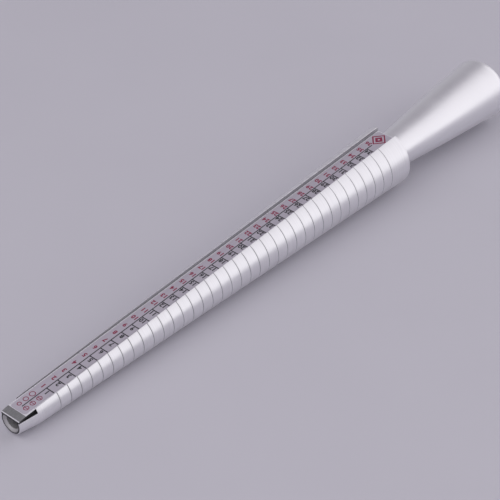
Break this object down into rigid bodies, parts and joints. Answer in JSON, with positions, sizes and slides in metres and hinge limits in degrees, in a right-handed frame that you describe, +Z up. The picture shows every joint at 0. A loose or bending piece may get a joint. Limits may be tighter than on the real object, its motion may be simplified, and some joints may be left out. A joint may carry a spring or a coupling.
{
  "type": "ring sizer stick",
  "caption": "Tapered ring sizing mandrel with engraved rings, a numbered scale strip on a dark bar set in a channel along its crown, and a flared handle.",
  "frame": {"origin": "middle of the footprint, on the surface that the stick lies on", "axes": "+X runs from the tip to the handle, +Z is up and the scale strip faces up; the stick lies on the underside of its taper, so its axis rises by half the taper angle towards the handle"},
  "size_m": [0.2682, 0.0252, 0.0269],
  "materials": {
    "turned_aluminium": "finely turned, bright",
    "satin_aluminium": "satin",
    "dark_aluminium": "dark anodised, satin",
    "scale_plate": "matt printed plate with black and red ink",
    "adhesive": "matt"
  },
  "bodies": {
    "root": {"mandrel": "turned_aluminium", "handle": "satin_aluminium", "scale_bar": "dark_aluminium", "scale_strip": "scale_plate", "adhesive_film": "adhesive"}
  },
  "joints": []
}
